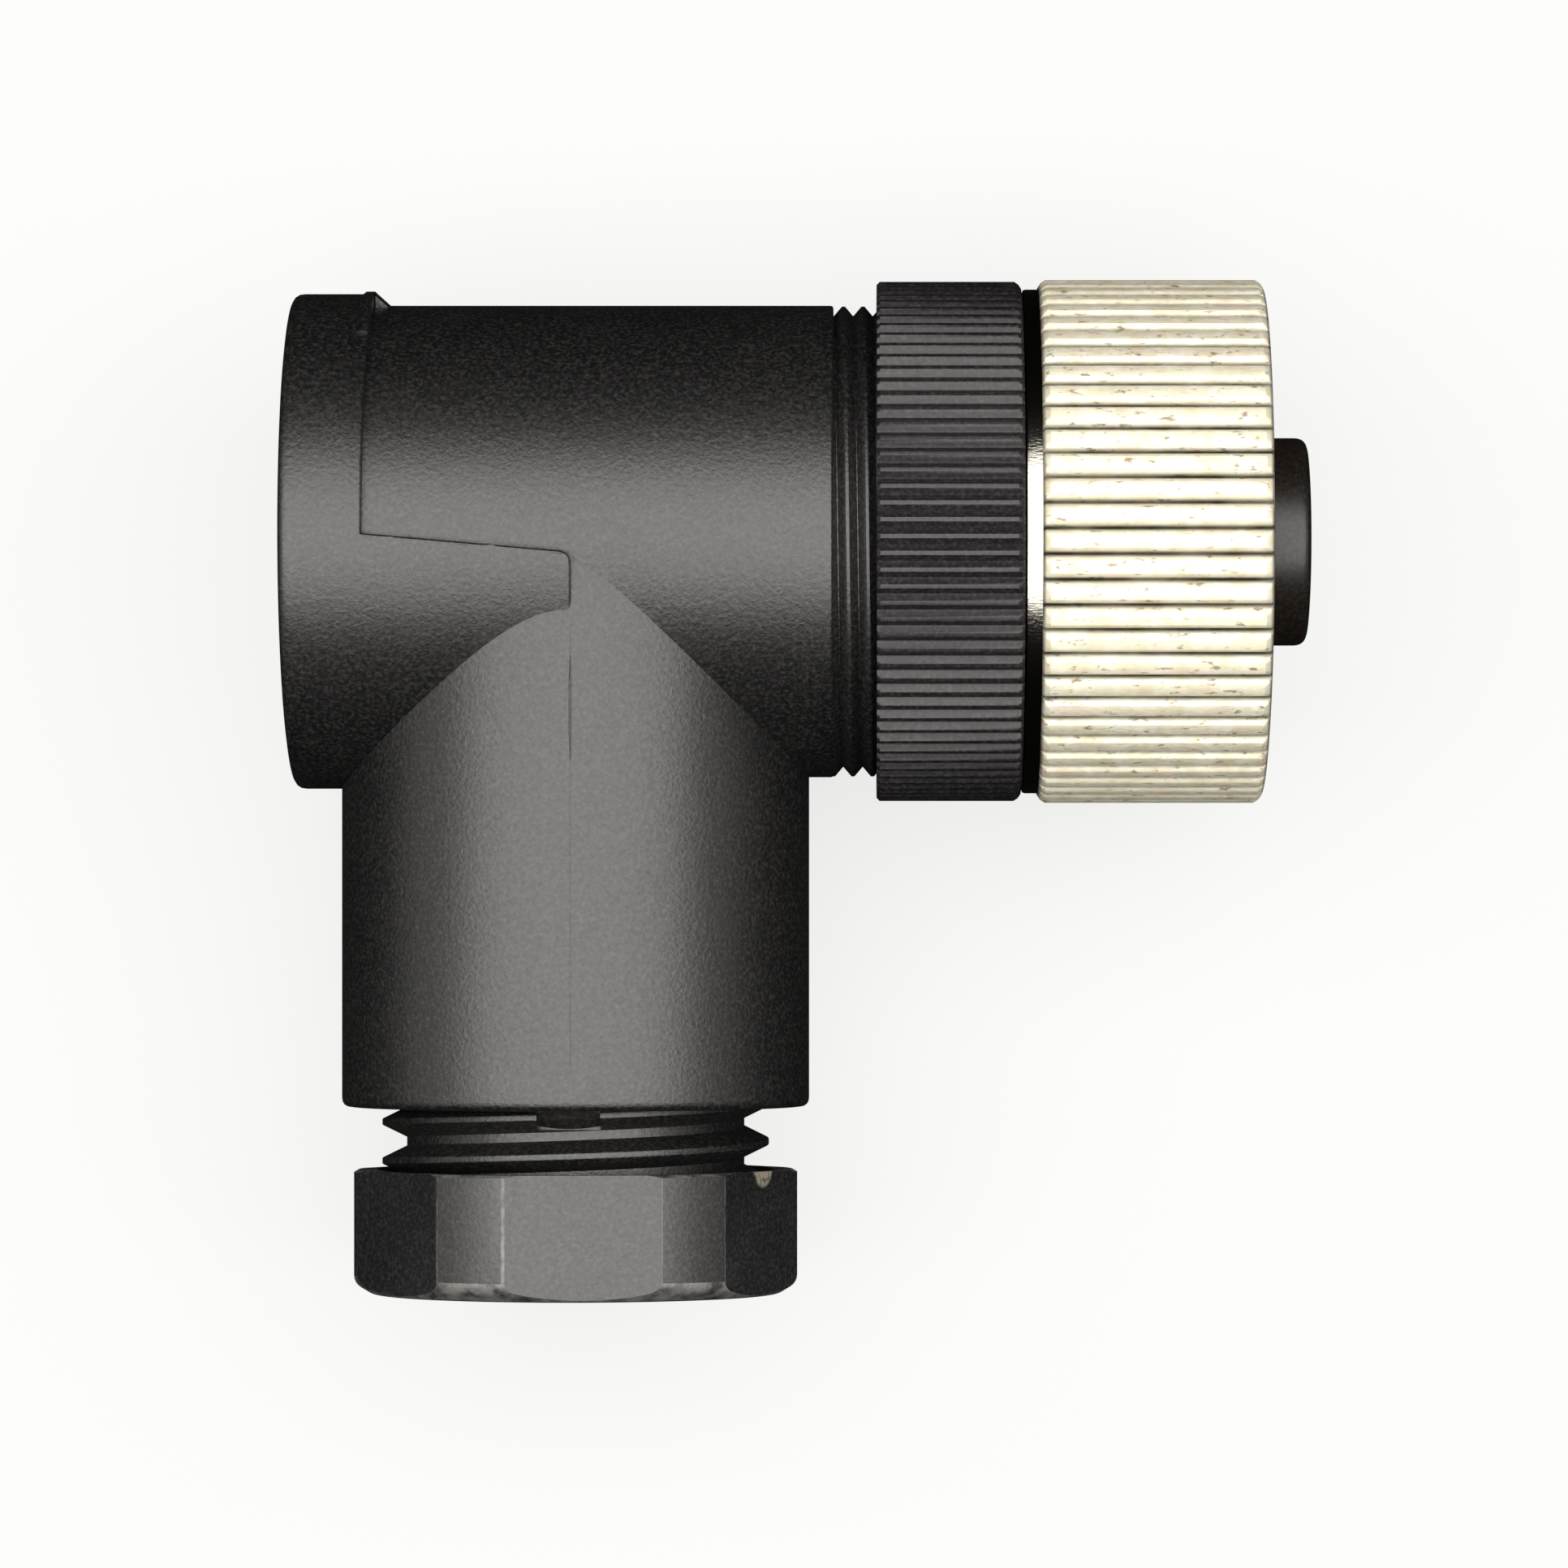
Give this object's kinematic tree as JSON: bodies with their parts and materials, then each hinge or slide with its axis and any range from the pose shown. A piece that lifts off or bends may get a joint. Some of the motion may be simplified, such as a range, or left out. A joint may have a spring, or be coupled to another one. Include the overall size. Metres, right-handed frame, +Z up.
{
  "type": "right-angled circular cable connector",
  "caption": "Right-angled circular socket connector with knurled metal coupling nut, ridged clamp ring, clip-on rear cap and a cable gland with hexagon nut on its neck.",
  "frame": {"origin": "centre of the nose's front face, on the plug axis", "axes": "+X along the plug axis, out of the mating face; the neck runs along -Y; +Z up, square to the L of plug axis and neck, which lies flat"},
  "size_m": [0.039, 0.0391, 0.0202],
  "materials": {
    "housing_plastic": "fine spark-eroded grain",
    "ring_plastic": "satin",
    "carrier_plastic": "smooth",
    "gland_plastic": "satin",
    "nickel_plate": "bright nickel plate",
    "seal_rubber": "smooth",
    "spring_steel": "bright",
    "contact_brass": "thin gold flash",
    "screw_steel": "zinc plated"
  },
  "bodies": {
    "housing": {"main_housing": "housing_plastic", "rear_cap": "housing_plastic", "rear_cap_seal": "seal_rubber"},
    "insert": {"contact_carrier": "carrier_plastic", "index_flange": "carrier_plastic", "terminal_block": "carrier_plastic", "coupling_seal": "seal_rubber", "housing_seal": "seal_rubber", "nut_clip": "spring_steel", "contact_1": "contact_brass", "contact_2": "contact_brass", "contact_3": "contact_brass", "contact_4": "contact_brass", "terminal_screw_1": "screw_steel", "terminal_screw_2": "screw_steel", "terminal_screw_3": "screw_steel", "terminal_screw_4": "screw_steel"},
    "ring": {"clamp_ring": "ring_plastic"},
    "nut": {"coupling_nut": "nickel_plate"},
    "gland_insert": {"gland_seal": "seal_rubber", "gland_washer": "gland_plastic", "gland_cage": "gland_plastic"},
    "gland_nut": {"gland_nut": "gland_plastic"}
  },
  "joints": [
    {"name": "insert_slide", "type": "slide", "parent": "housing", "child": "insert", "axis": [1, 0, 0], "range_m": [0, 0.00225]},
    {"name": "clamp_ring_turn", "type": "hinge", "parent": "insert", "child": "ring", "pos_m": [-0.0138, 0, 0], "axis": [1, 0, 0], "range_deg": [0, 1080]},
    {"name": "coupling_nut_turn", "type": "hinge", "parent": "insert", "child": "nut", "pos_m": [-0.006, 0, 0], "axis": [1, 0, 0], "continuous": true},
    {"name": "gland_slide", "type": "slide", "parent": "housing", "child": "gland_insert", "axis": [0, -1, 0], "range_m": [-0.00112, 0.00175]},
    {"name": "gland_nut_turn", "type": "hinge", "parent": "gland_insert", "child": "gland_nut", "pos_m": [-0.02817, -0.0265, 0], "axis": [0, -1, 0], "range_deg": [-270, 420]}
  ],
  "couplings": [
    {"joint": "clamp_ring_turn", "follows": "insert_slide", "rad_per_m": 8377.6},
    {"joint": "gland_nut_turn", "follows": "gland_slide", "rad_per_m": 4188.8}
  ]
}
